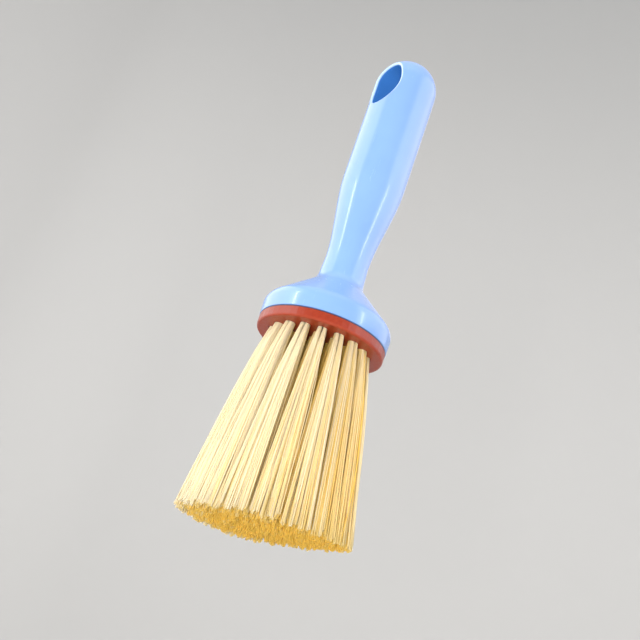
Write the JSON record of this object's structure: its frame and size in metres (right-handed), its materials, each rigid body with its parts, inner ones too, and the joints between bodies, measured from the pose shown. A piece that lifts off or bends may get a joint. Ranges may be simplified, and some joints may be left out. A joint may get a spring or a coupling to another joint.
{
  "type": "short handle brush",
  "caption": "Short handle brush: a turned plastic grip with an oval hanging eye, a flared round head and a drilled block of fanned filament tufts.",
  "frame": {"origin": "on the brush's axis, at the level of the trimmed bristle tips that it stands on", "axes": "+Z along the axis from the tips up to the hanging eye, +X along the eye's bore"},
  "size_m": [0.0778, 0.0773, 0.2569],
  "materials": {
    "handle": "glossy injection-moulded polypropylene, pale blue",
    "block": "satin moulded polypropylene, terracotta",
    "filament": "drawn straw-coloured filament with a soft sheen"
  },
  "bodies": {
    "root": {"handle_moulding": "handle", "bristle_block": "block", "tuft_centre": "filament", "tuft_inner_01": "filament", "tuft_inner_02": "filament", "tuft_inner_03": "filament", "tuft_inner_04": "filament", "tuft_inner_05": "filament", "tuft_inner_06": "filament", "tuft_middle_01": "filament", "tuft_middle_02": "filament", "tuft_middle_03": "filament", "tuft_middle_04": "filament", "tuft_middle_05": "filament", "tuft_middle_06": "filament", "tuft_middle_07": "filament", "tuft_middle_08": "filament", "tuft_middle_09": "filament", "tuft_middle_10": "filament", "tuft_middle_11": "filament", "tuft_middle_12": "filament", "tuft_outer_01": "filament", "tuft_outer_02": "filament", "tuft_outer_03": "filament", "tuft_outer_04": "filament", "tuft_outer_05": "filament", "tuft_outer_06": "filament", "tuft_outer_07": "filament", "tuft_outer_08": "filament", "tuft_outer_09": "filament", "tuft_outer_10": "filament", "tuft_outer_11": "filament", "tuft_outer_12": "filament", "tuft_outer_13": "filament", "tuft_outer_14": "filament", "tuft_outer_15": "filament", "tuft_outer_16": "filament", "tuft_outer_17": "filament", "tuft_outer_18": "filament"}
  },
  "joints": []
}
